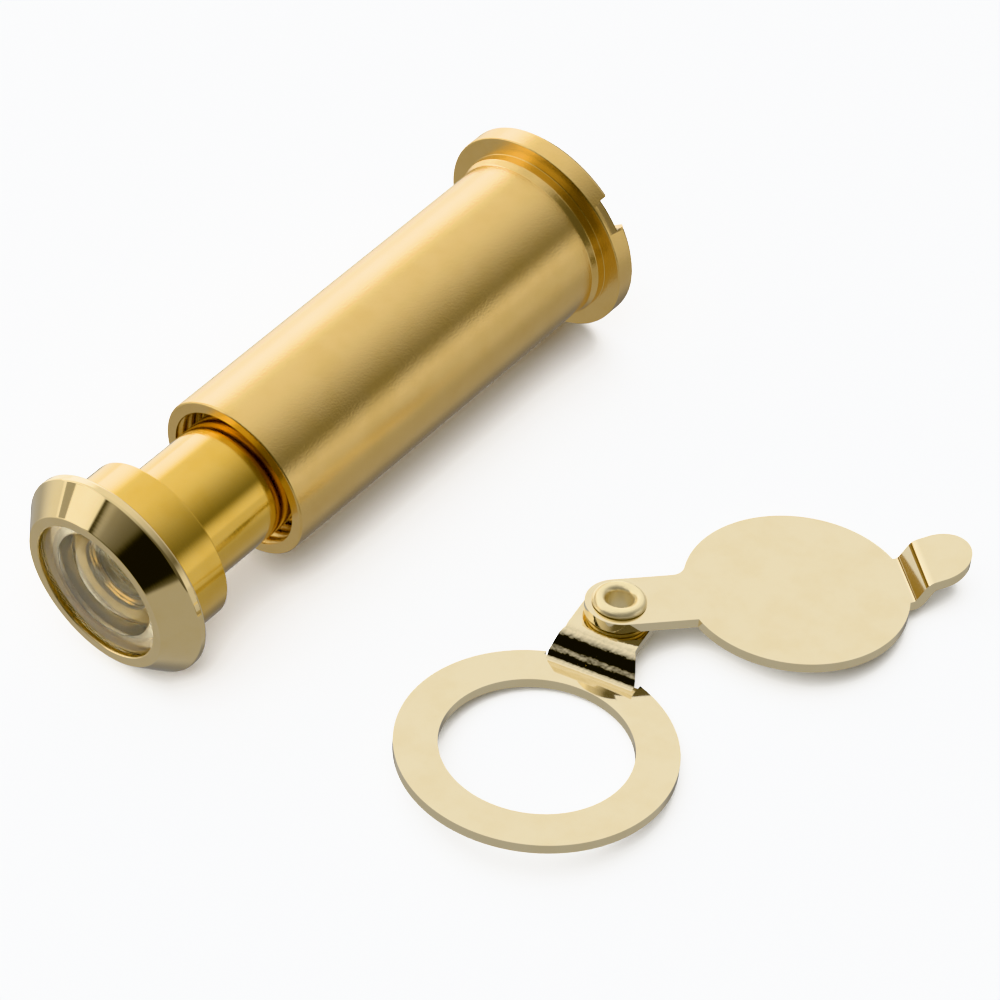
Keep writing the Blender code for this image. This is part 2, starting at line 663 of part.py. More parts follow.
def cover_lean():
    """Tip of the loose cover, so that ring and disc both touch the surface.

    The ring touches at RING_TOE, where its edge ends beside the lug.
    """
    heading = math.pi + COVER_OPENING
    disc_x = RIVET_DISTANCE * (1.0 + math.cos(heading))
    return math.atan2(ARM_UNDERSIDE, disc_x + DISC_RADIUS - RING_TOE)


def cover_frame(parts):
    """Empty at the centre of the ring's underside, local X towards the rivet."""
    lean = cover_lean()
    turn = Matrix.Rotation(COVER_TURN, 3, "Z") @ Matrix.Rotation(lean, 3, "Y")
    return empty("cover_frame", parts, None, (RING_X, RING_Y, RING_TOE * math.sin(lean)), turn)


def build():
    clear_scene()
    parts = new_collection(NAME)
    cutters = new_collection(NAME + "_cutters")

    seat = barrel_frame(parts)
    rear_sleeve(parts, cutters, seat)
    bezel = empty("front_barrel_axis", parts, seat, (0.0, 0.0, BEZEL_SEAT))
    front_barrel(parts, bezel)
    lens_stack(parts, cutters, bezel)

    cover = cover_frame(parts)
    cover_ring(parts, cutters, cover)
    rivet_axis = empty("rivet_axis", parts, cover, (RIVET_DISTANCE, 0.0, 0.0))
    cover_rivet(parts, rivet_axis)
    rivet_washer(parts, rivet_axis)
    pivot = empty("swing_axis", parts, cover, (RIVET_DISTANCE, 0.0, ARM_UNDERSIDE),
                  Matrix.Rotation(math.pi + COVER_OPENING, 3, "Z"))
    swing_cover(parts, cutters, pivot)
    bpy.context.view_layer.update()


build()
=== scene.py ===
"""Looks of an adjustable brass door viewer and the loose swing cover beside it.

Each sub-assembly is a class.  Its sizes are in millimetres in its own frame, and its
pieces are seated in the row frame, in metres, once they are finished.
"""

import json
import logging
import math
from dataclasses import dataclass, field
from enum import Enum

import bmesh
import bpy
from mathutils import Matrix, Vector


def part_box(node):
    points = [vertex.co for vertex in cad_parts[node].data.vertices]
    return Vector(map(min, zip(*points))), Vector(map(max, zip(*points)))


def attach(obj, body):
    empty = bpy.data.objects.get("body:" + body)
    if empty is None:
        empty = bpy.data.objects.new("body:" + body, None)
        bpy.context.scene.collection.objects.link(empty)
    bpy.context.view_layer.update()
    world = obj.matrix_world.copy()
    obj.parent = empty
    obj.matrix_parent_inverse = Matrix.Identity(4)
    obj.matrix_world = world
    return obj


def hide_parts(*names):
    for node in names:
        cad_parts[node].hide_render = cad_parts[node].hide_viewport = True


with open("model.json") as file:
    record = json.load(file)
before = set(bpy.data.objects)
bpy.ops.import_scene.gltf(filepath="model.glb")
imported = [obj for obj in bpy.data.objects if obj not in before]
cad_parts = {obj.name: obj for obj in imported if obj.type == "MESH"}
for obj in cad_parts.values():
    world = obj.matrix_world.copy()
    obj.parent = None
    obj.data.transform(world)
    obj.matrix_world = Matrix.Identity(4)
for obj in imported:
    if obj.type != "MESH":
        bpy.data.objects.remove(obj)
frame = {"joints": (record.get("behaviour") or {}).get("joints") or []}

MM = 0.001
TURN_SEGMENTS = 192
ARC_STEP = math.radians(12.0)
PLAN_STEP = math.radians(2.5)
MERGE = 1e-5

Point = tuple[float, float]
Colour = tuple[float, float, float]
log = logging.getLogger("door_viewer")


# ---- nodes ---------------------------------------------------------------------------

class Value:
    """A number or vector in a node tree; arithmetic on it adds Math nodes."""

    def __init__(self, nodes: "Nodes", socket: bpy.types.NodeSocket) -> None:
        """Wrap one output socket."""
        self.nodes = nodes
        self.socket = socket

    def math(self, operation: str, *others: "Value | float") -> "Value":
        """A Math node whose first input is this value.

        Args:
            operation: the node's operation.
            others: its other inputs.
        Returns:
            The node's result.
        """
        inputs = dict(enumerate((self, *others)))
        return self.nodes.value("ShaderNodeMath", {"operation": operation}, inputs)

    def __add__(self, other: "Value | float") -> "Value":
        """Sum."""
        return self.math("ADD", other)

    __radd__ = __add__

    def __sub__(self, other: "Value | float") -> "Value":
        """Difference."""
        return self.math("SUBTRACT", other)

    def __rsub__(self, other: float) -> "Value":
        """Difference from a number."""
        return self.math("MULTIPLY", -1.0).math("ADD", other)

    def __mul__(self, other: "Value | float") -> "Value":
        """Product."""
        return self.math("MULTIPLY", other)

    __rmul__ = __mul__

    def __truediv__(self, other: "Value | float") -> "Value":
        """Quotient."""
        return self.math("DIVIDE", other)

    def __pow__(self, other: "Value | float") -> "Value":
        """Power."""
        return self.math("POWER", other)

    def clamp(self) -> "Value":
        """The value held between 0 and 1."""
        return self.math("MINIMUM", 1.0).math("MAXIMUM", 0.0)

    def smooth(self, low: float, high: float) -> "Value":
        """0 below low, 1 above high, and a smooth step between.

        Args:
            low: where the step starts.
            high: where it ends.
        Returns:
            The step's value.
        """
        inputs = {"Value": self, "From Min": low, "From Max": high}
        return self.nodes.value("ShaderNodeMapRange", {"interpolation_type": "SMOOTHSTEP"}, inputs)

    def between(self, low: float, high: float, soft: float) -> "Value":
        """1 between two limits and 0 outside them, over a soft edge."""
        return self.smooth(low - soft, low + soft) * (1.0 - self.smooth(high - soft, high + soft))


class Nodes:
    """Adds nodes to one tree."""

    def __init__(self, tree: bpy.types.NodeTree) -> None:
        """Start from the tree as it is."""
        self.tree = tree

    def add(self, kind: str, settings: dict | None = None,
            inputs: dict | None = None) -> bpy.types.Node:
        """Add a node.

        Args:
            kind: the node's type.
            settings: its properties, set before its sockets.
            inputs: value or link of each socket, by name or number.
        Returns:
            The node.
        """
        node = self.tree.nodes.new(kind)
        for name, setting in (settings or {}).items():
            setattr(node, name, setting)
        for key, given in (inputs or {}).items():
            if isinstance(given, Value):
                self.tree.links.new(given.socket, node.inputs[key])
            else:
                node.inputs[key].default_value = given
        return node

    def value(self, kind: str, settings: dict | None = None, inputs: dict | None = None,
              output: int | str = 0) -> Value:
        """Add a node and wrap one of its outputs."""
        return Value(self, self.add(kind, settings, inputs).outputs[output])

    def mix(self, factor: Value | float, low: Value | tuple, high: Value | tuple) -> Value:
        """A colour between two colours.

        Args:
            factor: 0 gives low and 1 gives high.
            low: the first colour.
            high: the second colour.
        Returns:
            The mixed colour.
        """
        inputs = {0: factor, 6: low, 7: high}
        return self.value("ShaderNodeMix", {"data_type": "RGBA"}, inputs, 2)

    def parts(self, vector: Value) -> tuple[Value, ...]:
        """A vector's X, Y and Z."""
        split = self.add("ShaderNodeSeparateXYZ", None, {"Vector": vector})
        return tuple(Value(self, split.outputs[i]) for i in range(3))

    def noise(self, place: Value, scale: float, detail: float, **more: float) -> Value:
        """Noise of about 0.5 on average; scale is in bumps a unit of place."""
        inputs = {"Vector": place, "Scale": scale, "Detail": detail, **more}
        return self.value("ShaderNodeTexNoise", None, inputs)

    def bump(self, strength: float, depth: float, height: Value) -> Value:
        """A normal that follows a height, whose depth is in millimetres."""
        inputs = {"Strength": strength, "Distance": depth * MM, "Height": height}
        return self.value("ShaderNodeBump", None, inputs)


# ---- finishes ------------------------------------------------------------------------

class Lay(Enum):
    """How the tool marks run over a metal surface."""

    TURNED = "fine rings about the barrel's axis"
    SATIN = "rings under an even fine grain"
    ROLLED = "polished sheet with a faint ripple"
    PRESSED = "a ripple and the step that the press left across a bend"


def rgba(colour: Colour) -> tuple[float, float, float, float]:
    """A colour with full alpha."""
    return (*colour, 1.0)


@dataclass(frozen=True)
class Finish:
    """A surface with one Principled shader, on object coordinates in millimetres."""

    name: str

    def material(self) -> bpy.types.Material:
        """The finish as a material, made once.

        Returns:
            The material.
        """
        made = bpy.data.materials.get(self.name)
        if made is not None:
            return made
        made = bpy.data.materials.new(self.name)
        made.use_nodes = True
        made.node_tree.nodes.clear()
        nodes = Nodes(made.node_tree)
        place = nodes.value("ShaderNodeTexCoord", output="Object")
        in_mm = nodes.value("ShaderNodeVectorMath", {"operation": "SCALE"},
                            {0: place, "Scale": 1.0 / MM})
        surface = nodes.value("ShaderNodeBsdfPrincipled", None, self._inputs(nodes, in_mm))
        nodes.add("ShaderNodeOutputMaterial", None, {"Surface": surface})
        return made

    def _inputs(self, nodes: Nodes, in_mm: Value) -> dict:
        """The shader's inputs; each kind of finish has its own."""
        raise NotImplementedError


@dataclass(frozen=True)
class Brass(Finish):
    """Bare or lacquered brass with its tool marks.

    The colour drifts towards a warmer one in soft patches, and the marks give the
    roughness and the normal their small changes.  Scales are in bumps a millimetre,
    depth is in millimetres, and step is the heights between which a press stepped a bend.
    """

    colour: Colour
    patina: Colour
    roughness: float
    lay: Lay
    marks: float
    axis: Point = (0.0, 0.0)
    lacquer: float = 0.0
    spread: float = 0.04
    patch_scale: float = 0.35
    ripple: float = 0.55
    depth: float = 0.02
    step: Point = (1.38, 1.98)

    def _inputs(self, nodes: Nodes, in_mm: Value) -> dict:
        """Colour, gloss and marks of the brass."""
        marks = self._marks(nodes, in_mm)
        drift = nodes.noise(in_mm, self.patch_scale, 3.0).smooth(0.35, 0.75)
        rough = self.roughness + (marks - 0.5) * self.spread + (drift - 0.5) * (self.spread * 0.5)
        return {"Base Color": nodes.mix(drift, rgba(self.colour), rgba(self.patina)),
                "Metallic": 1.0, "Roughness": rough.clamp(),
                "Normal": nodes.bump(self.marks, self.depth, marks),
                "Coat Weight": self.lacquer, "Coat Roughness": 0.02, "Coat IOR": 1.5}

    def _marks(self, nodes: Nodes, in_mm: Value) -> Value:
        """Height of the tool marks, about 0.5 on average."""
        if self.lay is Lay.ROLLED:
            return nodes.noise(in_mm, self.ripple, 1.0) * 0.85 + nodes.noise(in_mm, 9.0, 4.0) * 0.15
        along, side, up = nodes.parts(in_mm)
        if self.lay is Lay.PRESSED:
            step = 1.0 - up.smooth(*self.step)
            return nodes.noise(in_mm, self.ripple, 1.0) * 0.25 + step * 0.75
        side = side - self.axis[0] / MM
        up = up - self.axis[1] / MM
        radius = (side * side + up * up) ** 0.5
        rings = nodes.value("ShaderNodeCombineXYZ", None, {"X": along * 9.0, "Y": radius * 9.0})
        turned = nodes.noise(rings, 1.0, 3.0)
        if self.lay is Lay.TURNED:
            return turned
        return turned * 0.35 + nodes.noise(in_mm, 5.5, 3.0, Roughness=0.65) * 0.65


@dataclass(frozen=True)
class LensGlass(Finish):
    """Clear optical glass with a faint film of dust."""

    tint: Colour
    film: Colour
    index: float = 1.52
    clarity: float = 1.0

    def _inputs(self, nodes: Nodes, in_mm: Value) -> dict:
        """Clear glass, slightly duller where the film lies."""
        film = nodes.noise(in_mm, 1.3, 5.0).smooth(0.45, 0.8)
        return {"Base Color": nodes.mix(film, rgba(self.tint), rgba(self.film)),
                "Roughness": film * 0.04, "IOR": self.index, "Specular IOR Level": 0.3,
                "Transmission Weight": self.clarity}


@dataclass(frozen=True)
class Rubber(Finish):
    """Matt moulded rubber."""

    colour: Colour
    bloom: Colour

    def _inputs(self, nodes: Nodes, in_mm: Value) -> dict:
        """Fine grain with a paler bloom."""
        grain = nodes.noise(in_mm, 4.0, 4.0)
        return {"Base Color": nodes.mix(grain, rgba(self.colour), rgba(self.bloom)),
                "Roughness": 0.6 + grain * 0.2, "Normal": nodes.bump(0.4, 0.02, grain)}


# ---- shapes --------------------------------------------------------------------------

def arc(centre: Point, radius: float, start: float, end: float, step: float) -> list[Point]:
    """Points along an arc, both ends included.

    Args:
        centre: the arc's centre.
        radius: its radius.
        start: angle of its first point.
        end: angle of its last point.
        step: largest angle between two points.
    Returns:
        The points.
    """
    steps = max(1, math.ceil(abs(end - start) / step))
    angles = (start + (end - start) * i / steps for i in range(steps + 1))
    return [(centre[0] + radius * math.cos(a), centre[1] + radius * math.sin(a)) for a in angles]


def circle(radius: float, centre: Point = (0.0, 0.0)) -> list[Point]:
    """Points round a full circle."""
    return arc(centre, radius, 0.0, math.tau, PLAN_STEP)[:-1]


def corner_points(before: Point, corner: Point, after: Point, radius: float,
                  step: float = ARC_STEP) -> list[Point]:
    """A corner between two straight runs, rounded with an arc.

    Args:
        before: a point on the run that comes in.
        corner: where the runs would meet.
        after: a point on the run that goes out.
        radius: of the rounding.
        step: largest angle between two points.
    Returns:
        The arc's points, or the corner alone where the radius is zero.
    """
    into = (Vector(corner) - Vector(before)).normalized()
    out = (Vector(after) - Vector(corner)).normalized()
    turn = into.angle_signed(out)
    if radius <= 0.0 or abs(turn) < 1e-4:
        return [corner]
    setback = radius * math.tan(abs(turn) / 2.0)
    side = -1.0 if turn > 0.0 else 1.0
    normal = Vector((-into.y, into.x)) * side
    centre = Vector(corner) - into * setback + normal * radius
    first = math.atan2(-normal.y, -normal.x)
    return arc(tuple(centre), radius, first, first + side * abs(turn), step)


@dataclass
class Profile:
    """Section of a turned piece, as corners of (radius, height, rounding)."""

    corners: list[tuple[float, float, float]] = field(default_factory=list)
    fine: dict[int, float] = field(default_factory=dict)

    def to(self, radius: float, height: float, rounding: float = 0.0,
           step: float = 0.0) -> "Profile":
        """Go to the next corner.

        Args:
            radius: the corner's distance from the axis.
            height: its place along the axis.
            rounding: radius of the corner's rounding.
            step: where it isn't zero, the run to this corner is split this finely.
        Returns:
            The profile itself.
        """
        if step > 0.0:
            self.fine[len(self.corners)] = step
        self.corners.append((radius, height, rounding))
        return self

    def through(self, *corners: tuple[float, ...]) -> "Profile":
        """Go to several corners, each with what the method above takes."""
        for corner in corners:
            self.to(*corner)
        return self

    def dome(self, radius: float, sag: float, height: float, outward: bool) -> "Profile":
        """Add a shallow spherical face.

        Args:
            radius: of the face's edge.
            sag: how far the edge is below the middle; negative where it is above.
            height: of the face on the axis.
            outward: whether the points run from the axis out or back to it.
        Returns:
            The profile itself.
        """
        points = [(r, height - math.copysign(drop, sag)) for r, drop in sphere_cap(radius, abs(sag))]
        for r, z in points if outward else points[::-1]:
            self.to(r, z)
        return self

    def points(self, closed: bool) -> list[Point]:
        """The section's points, corners rounded and fine runs split.

        Args:
            closed: whether the last corner joins the first.
        Returns:
            The points.
        """
        found: list[Point] = []
        count = len(self.corners)
        for i, (r, z, rounding) in enumerate(self.corners):
            before = self.corners[i - 1][:2]
            after = self.corners[(i + 1) % count][:2]
            here = [(r, z)]
            if closed or 0 < i < count - 1:
                here = corner_points(before, (r, z), after, rounding)
            if i in self.fine and found:
                found += self._split(found[-1], here[0], self.fine[i])
            found += here
        return found

    @staticmethod
    def _split(start: Point, end: Point, step: float) -> list[Point]:
        """Points between two points, ends left out."""
        steps = math.ceil(math.dist(start, end) / step)
        return [(start[0] + (end[0] - start[0]) * i / steps,
                 start[1] + (end[1] - start[1]) * i / steps) for i in range(1, steps)]


def ring_section(inner: float, outer: float, bottom: float, top: float,
                 rounding: float) -> list[Point]:
    """Section of a plain ring with rounded edges.

    Args:
        inner: radius of its hole.
        outer: its outer radius.
        bottom: height of its lower face.
        top: height of its upper face.
        rounding: of its edges.
    Returns:
        The section's points.
    """
    corners = ((outer, top), (outer, bottom), (inner, bottom), (inner, top))
    return Profile().through(*((r, z, rounding) for r, z in corners)).points(closed=True)


def sphere_cap(radius: float, sag: float, steps: int = 24) -> list[Point]:
    """Distance from the axis and drop of points on a shallow cap, from its middle out."""
    ball = (radius ** 2 + sag ** 2) / (2.0 * sag)
    reach = math.asin(radius / ball)
    angles = (reach * i / steps for i in range(steps + 1))
    return [(ball * math.sin(a), ball * (1.0 - math.cos(a))) for a in angles]


def sphere_drop(distance: float, radius: float, sag: float) -> float:
    """Drop of a shallow cap at a distance from its axis."""
    ball = (radius ** 2 + sag ** 2) / (2.0 * sag)
    return ball - math.sqrt(ball ** 2 - distance ** 2)


def new_object(name: str, mesh: bpy.types.Mesh) -> bpy.types.Object:
    """An object in the scene for a mesh."""
    made = bpy.data.objects.new(name, mesh)
    bpy.context.scene.collection.objects.link(made)
    return made


def take_mesh(name: str, work: bmesh.types.BMesh) -> bpy.types.Mesh:
    """A mesh from a finished bmesh, which is used up."""
    mesh = bpy.data.meshes.new(name)
    work.to_mesh(mesh)
    work.free()
    return mesh


def revolve(name: str, points: list[Point], closed: bool = True) -> bpy.types.Object:
    """Turn a section about local Z.

    Args:
        name: of the object.
        points: (radius, height) of the section.
        closed: whether the last point joins the first; if not, both lie on the axis.
    Returns:
        The solid of revolution, in millimetres.
    """
    work = bmesh.new()
    rows = []
    for radius, height in points:
        if radius < 1e-6:
            rows.append([work.verts.new((0.0, 0.0, height))] * TURN_SEGMENTS)
            continue
        angles = (math.tau * i / TURN_SEGMENTS for i in range(TURN_SEGMENTS))
        rows.append([work.verts.new((radius * math.cos(a), radius * math.sin(a), height))
                     for a in angles])
    last = len(rows) if closed else len(rows) - 1
    for i in range(last):
        low, high = rows[i], rows[(i + 1) % len(rows)]
        for j in range(TURN_SEGMENTS):
            k = (j + 1) % TURN_SEGMENTS
            ring = list(dict.fromkeys((low[j], low[k], high[k], high[j])))
            work.faces.new(ring)
    bmesh.ops.recalc_face_normals(work, faces=work.faces)
    mesh = take_mesh(name, work)
    mesh.shade_smooth()
    return new_object(name, mesh)


def prism(name: str, outlines: list[list[Point]], low: float, high: float,
          upright: bool = False) -> bpy.types.Object:
    """A flat solid between two heights, from outlines in XY, or in XZ when upright.

    Args:
        name: of the object.
        outlines: the outer outline and any holes.
        low: lower face, or the face towards +Y when upright.
        high: upper face.
        upright: whether the outlines stand in XZ.
    Returns:
        The solid, in millimetres.
    """
    curve = bpy.data.curves.new(name, "CURVE")
    curve.dimensions = "2D"
    curve.fill_mode = "BOTH"
    curve.extrude = (high - low) / 2.0
    for outline in outlines:
        spline = curve.splines.new("POLY")
        spline.points.add(len(outline) - 1)
        for point, (x, y) in zip(spline.points, outline):
            point.co = (x, y, 0.0, 1.0)
        spline.use_cyclic_u = True
    source = new_object(name + "_outline", curve)
    bpy.context.view_layer.update()
    seen = source.evaluated_get(bpy.context.evaluated_depsgraph_get())
    mesh = bpy.data.meshes.new_from_object(seen)
    bpy.data.objects.remove(source, do_unlink=True)
    bpy.data.curves.remove(curve)
    work = bmesh.new()
    work.from_mesh(mesh)
    bmesh.ops.remove_doubles(work, verts=work.verts, dist=MERGE)
    bmesh.ops.translate(work, verts=work.verts, vec=(0.0, 0.0, (low + high) / 2.0))
    if upright:
        bmesh.ops.rotate(work, verts=work.verts, matrix=Matrix.Rotation(math.pi / 2.0, 3, "X"))
    bmesh.ops.dissolve_limit(work, angle_limit=0.001, verts=work.verts, edges=work.edges)
    bmesh.ops.recalc_face_normals(work, faces=work.faces)
    work.to_mesh(mesh)
    work.free()
    mesh.shade_smooth()
    return new_object(name, mesh)


def box_cutter(name: str, size: Colour, centre: Colour, turn: float) -> bpy.types.Object:
    """A block that cuts, turned about local Z."""
    work = bmesh.new()
    bmesh.ops.create_cube(work, size=1.0)
    bmesh.ops.transform(work, verts=work.verts,
                        matrix=Matrix.Rotation(turn, 4, "Z") @ Matrix.Translation(centre)
                        @ Matrix.Diagonal((*size, 1.0)))
    return new_object(name, take_mesh(name, work))


def apply_modifiers(obj: bpy.types.Object) -> None:
    """Turn an object with its modifiers into a plain mesh."""
    bpy.context.view_layer.update()
    seen = obj.evaluated_get(bpy.context.evaluated_depsgraph_get())
    mesh = bpy.data.meshes.new_from_object(seen)
    old = obj.data
    obj.modifiers.clear()
    obj.data = mesh
    bpy.data.meshes.remove(old)


def combine(obj: bpy.types.Object, other: bpy.types.Object, operation: str) -> None:
    """Join, cut or intersect an object with another, which is used up."""
    joint = obj.modifiers.new("combine", "BOOLEAN")
    joint.operation = operation
    joint.solver = "EXACT"
    joint.object = other
    apply_modifiers(obj)
    bpy.data.objects.remove(other, do_unlink=True)


def soften_edges(obj: bpy.types.Object, width: float, angle: float = math.radians(35.0)) -> None:
    """Round an object's sharp edges.

    Args:
        obj: the object, in millimetres.
        width: of the rounding.
        angle: edges that turn less than this stay as they are.
    """
    bevel = obj.modifiers.new("edges", "BEVEL")
    bevel.width = width
    bevel.segments = 3
    bevel.limit_method = "ANGLE"
    bevel.angle_limit = angle
    bevel.use_clamp_overlap = True
    bevel.harden_normals = False
    apply_modifiers(obj)


def even_normals(obj: bpy.types.Object) -> None:
    """Keep flat faces flat next to their rounded edges."""
    obj.data.shade_smooth()
    weigh = obj.modifiers.new("normals", "WEIGHTED_NORMAL")
    weigh.mode = "FACE_AREA"
    weigh.weight = 100
    apply_modifiers(obj)


class Thread:
    """A helical thread, cut radially into the fine stretch of a turned piece."""

    NAME = "cut_thread"

    def __init__(self, radius: float, depth: float, low: float, high: float,
                 pitch: float = 1.0) -> None:
        """Keep the thread's sizes in millimetres.

        Args:
            radius: of the surface that is cut.
            depth: of the groove, away from the axis where it is positive.
            low: where the thread starts along local Z.
            high: where it ends.
            pitch: from one turn to the next.
        """
        self.sizes = {"Radius": radius, "Depth": depth, "Low": low, "High": high, "Pitch": pitch}

    @classmethod
    def _tree(cls) -> bpy.types.NodeTree:
        """The node tree that all threads share."""
        tree = bpy.data.node_groups.get(cls.NAME)
        if tree is not None:
            return tree
        tree = bpy.data.node_groups.new(cls.NAME, "GeometryNodeTree")
        tree.interface.new_socket("Geometry", in_out="INPUT", socket_type="NodeSocketGeometry")
        for name in ("Radius", "Depth", "Low", "High", "Pitch"):
            tree.interface.new_socket(name, in_out="INPUT", socket_type="NodeSocketFloat")
        tree.interface.new_socket("Material", in_out="INPUT", socket_type="NodeSocketMaterial")
        tree.interface.new_socket("Geometry", in_out="OUTPUT", socket_type="NodeSocketGeometry")
        nodes = Nodes(tree)
        given = nodes.add("NodeGroupInput")
        source, radius, depth, low, high, pitch, finish = (
            Value(nodes, given.outputs[i]) for i in range(7))
        x, y, z = nodes.parts(nodes.value("GeometryNodeInputPosition"))
        distance = (x * x + y * y) ** 0.5
        turn = y.math("ARCTAN2", x) / math.tau
        phase = (z / pitch - turn).math("FRACT")
        groove = (1.0 - ((phase - 0.5).math("ABSOLUTE") * 2.0 - 0.15) / 0.7).clamp()
        fade = ((z - low) / pitch).smooth(0.0, 1.0) * ((high - z) / pitch).smooth(0.0, 1.0)
        near = (distance - radius).math("ABSOLUTE").math("LESS_THAN", 0.01)
        shift = groove * fade * near * depth / distance
        offset = nodes.value("ShaderNodeCombineXYZ", None, {"X": x * shift, "Y": y * shift})
        moved = nodes.value("GeometryNodeSetPosition", None, {"Geometry": source, "Offset": offset})
        real = nodes.value("GeometryNodeRealizeInstances", None, {"Geometry": moved})
        dressed = nodes.value("GeometryNodeSetMaterial", None,
                              {"Geometry": real, "Material": finish})
        nodes.add("NodeGroupOutput", None, {0: dressed})
        return tree

    def cut(self, obj: bpy.types.Object, finish: bpy.types.Material) -> None:
        """Cut the thread into an object and leave a plain mesh.

        Args:
            obj: the turned piece, in millimetres.
            finish: its material.
        """
        tree = self._tree()
        modifier = obj.modifiers.new("thread", "NODES")
        modifier.node_group = tree
        for item in tree.interface.items_tree:
            if item.in_out == "INPUT" and item.name in self.sizes:
                modifier[item.identifier] = self.sizes[item.name]
            elif item.in_out == "INPUT" and item.name == "Material":
                modifier[item.identifier] = finish
        apply_modifiers(obj)


@dataclass(frozen=True)
class Seat:
    """Where a finished piece goes and what it stands for."""

    place: Matrix
    body: str

    def settle(self, obj: bpy.types.Object, finish: bpy.types.Material, node: str,
               slot: str) -> bpy.types.Object:
        """Move a piece into the row frame and hand it to the frame.

        Args:
            obj: the piece, in millimetres in its own frame.
            finish: its material.
            node: the solid that it stands for.
            slot: not used.
        Returns:
            The piece.
        """
        even_normals(obj)
        obj.data.materials.clear()
        obj.data.materials.append(finish)
        obj.data.transform(self.place @ Matrix.Scale(MM, 4))
        obj.data.update()
        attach(obj, self.body)
        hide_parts(node)
        log.info("%s: %d faces, rides on %s", obj.name, len(obj.data.polygons), self.body)
        return obj


def barrel_place(x: float, axis: Vector) -> Matrix:
    """Frame on the barrel's axis: local Z towards the bezel, local X up.

    Args:
        x: where the frame's origin lies along the axis.
        axis: a point on the axis.
    Returns:
        The frame's matrix.
    """
    turn = Matrix(((0.0, 0.0, -1.0), (0.0, 1.0, 0.0), (1.0, 0.0, 0.0))).to_4x4()
    return Matrix.Translation((x, axis.y, axis.z)) @ turn


# ---- the barrel ----------------------------------------------------------------------

@dataclass
class Sleeve:
    """Threaded tube with the flange and its coin slot; local Z = 0 is the flange's seat."""

    axis: Vector
    radius: float = 7.0
    bore: float = 5.95
    length: float = 35.15
    shoulder: float = 7.25
    shoulder_length: float = 0.75
    shoulder_taper: float = 0.45
    flange: float = 8.78
    flange_thickness: float = 2.0
    eye_hole: float = 4.5
    eye_chamfer: float = 0.8
    web: float = 0.6
    slot_width: float = 2.75
    slot_depth: float = 1.0
    slot_turn: float = math.radians(-51.0)
    thread_depth: float = 0.32

    def seat_x(self) -> float:
        """Where the flange's seat lies along the row's X."""
        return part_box("rear_sleeve")[1].x - self.flange_thickness * MM

    def build(self, finish: Brass) -> None:
        """Make the sleeve.

        Args:
            finish: of its brass.
        """
        back = -self.flange_thickness
        section = Profile().through(
            (self.radius, self.length, 0.18),
            (self.radius, self.shoulder_length + self.shoulder_taper, 0.4),
            (self.shoulder, self.shoulder_length, 0.3), (self.shoulder, 0.0, 0.06),
            (self.flange, 0.0, 0.12), (self.flange, back + 0.4, 0.2), (self.flange - 0.4, back, 0.2),
            (self.eye_hole + self.eye_chamfer, back, 0.12),
            (self.eye_hole, back + self.eye_chamfer, 0.12), (self.eye_hole, self.web, 0.05),
            (self.bore, self.web, 0.1), (self.bore, self.length - 0.1, 0.0, 0.11),
            (self.bore + 0.1, self.length, 0.05))
        obj = revolve("sleeve_with_flange", section.points(closed=True))
        thread = Thread(self.bore, self.thread_depth, self.web + 1.0, self.length + 0.6)
        thread.cut(obj, finish.material())
        size = (2.5 * self.flange, self.slot_width, 2.0 * self.slot_depth)
        combine(obj, box_cutter("coin_slot", size, (0.0, 0.0, back), self.slot_turn), "DIFFERENCE")
        seat = Seat(barrel_place(self.seat_x(), self.axis), "sleeve")
        seat.settle(obj, finish.material(), "rear_sleeve", "sleeve_brass")


